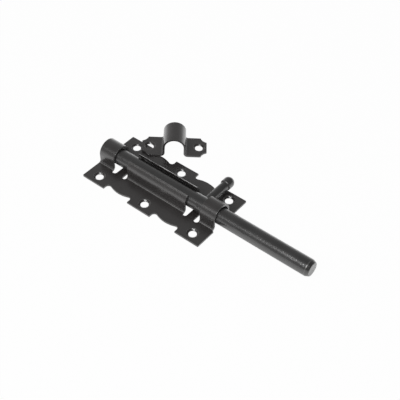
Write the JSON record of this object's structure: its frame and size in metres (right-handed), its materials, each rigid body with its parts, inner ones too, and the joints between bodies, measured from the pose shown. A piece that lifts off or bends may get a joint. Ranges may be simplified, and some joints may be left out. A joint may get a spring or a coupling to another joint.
{
  "type": "door bolt",
  "caption": "Surface door bolt in black steel: a round rod held by loops and a slotted saddle raised from its plate, with a riveted pin handle and a loose strap keeper.",
  "frame": {"origin": "middle of the base plate's back face, which lies on the door", "axes": "+X along the rod towards its nose, +Y across the plate towards the handle's side, +Z out of the door"},
  "size_m": [0.151, 0.0707, 0.0147],
  "materials": {
    "sheet_coat": "satin black coat over pressed steel sheet",
    "rod_coat": "semi-gloss black coat over drawn steel bar, with fine speckle"
  },
  "bodies": {
    "plate": {"base_plate": "sheet_coat", "keeper": "sheet_coat"},
    "rod": {"bolt_rod": "rod_coat", "handle_pin": "rod_coat"}
  },
  "joints": [
    {"name": "rod_turn", "type": "hinge", "parent": "plate", "child": "rod", "pos_m": [0.0307, -0.00045, 0.0068], "axis": [1, 0, 0], "range_deg": [0, 180]}
  ]
}
